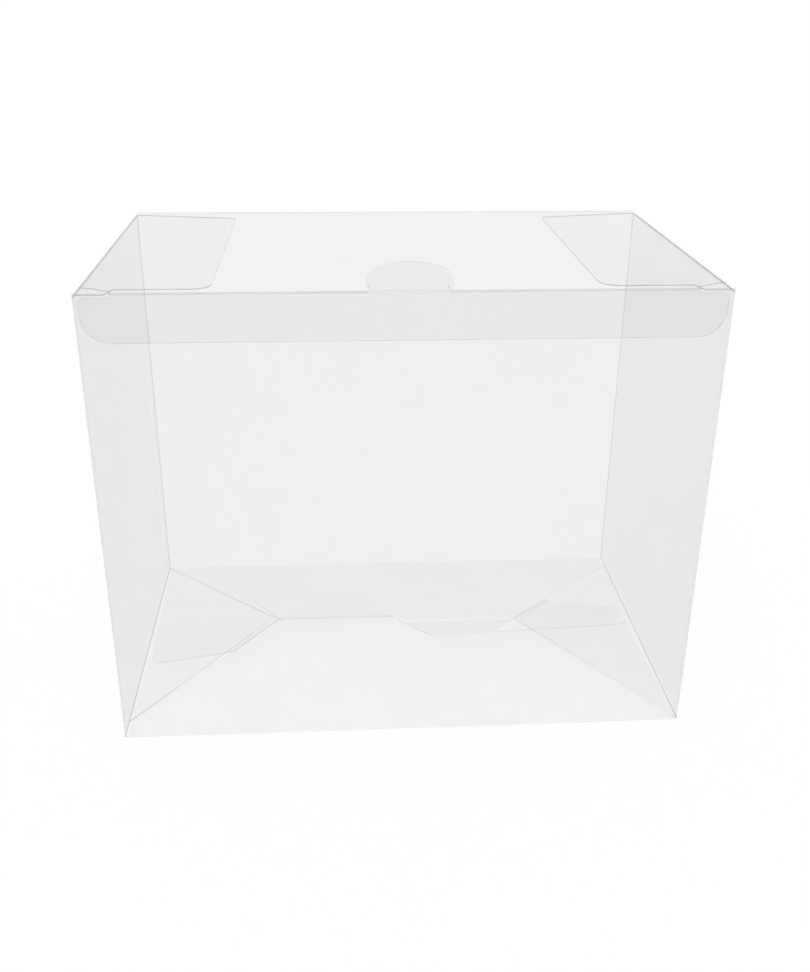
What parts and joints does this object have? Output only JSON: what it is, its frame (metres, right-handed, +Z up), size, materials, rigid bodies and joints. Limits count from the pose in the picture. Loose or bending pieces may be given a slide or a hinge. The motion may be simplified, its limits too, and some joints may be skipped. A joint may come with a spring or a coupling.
{
  "type": "figure box protector",
  "caption": "Clear folding box with tuck lid, lock tab, dust flaps and crash-lock floor, sized to slip over a boxed figure.",
  "frame": {"origin": "middle of the base, at the height of the bottom rim", "axes": "+X to the right, +Y from the front wall to the back wall, +Z up"},
  "size_m": [0.203, 0.125, 0.1721],
  "materials": {
    "clear_sheet": "clear, glossy PET sheet"
  },
  "bodies": {
    "box": {"box_body": "clear_sheet"},
    "lid": {"lid": "clear_sheet"}
  },
  "joints": [
    {"name": "lid_fold", "type": "hinge", "parent": "box", "child": "lid", "pos_m": [0, 0.0623, 0.1628], "axis": [-1, 0, 0], "range_deg": [0, 120]}
  ]
}
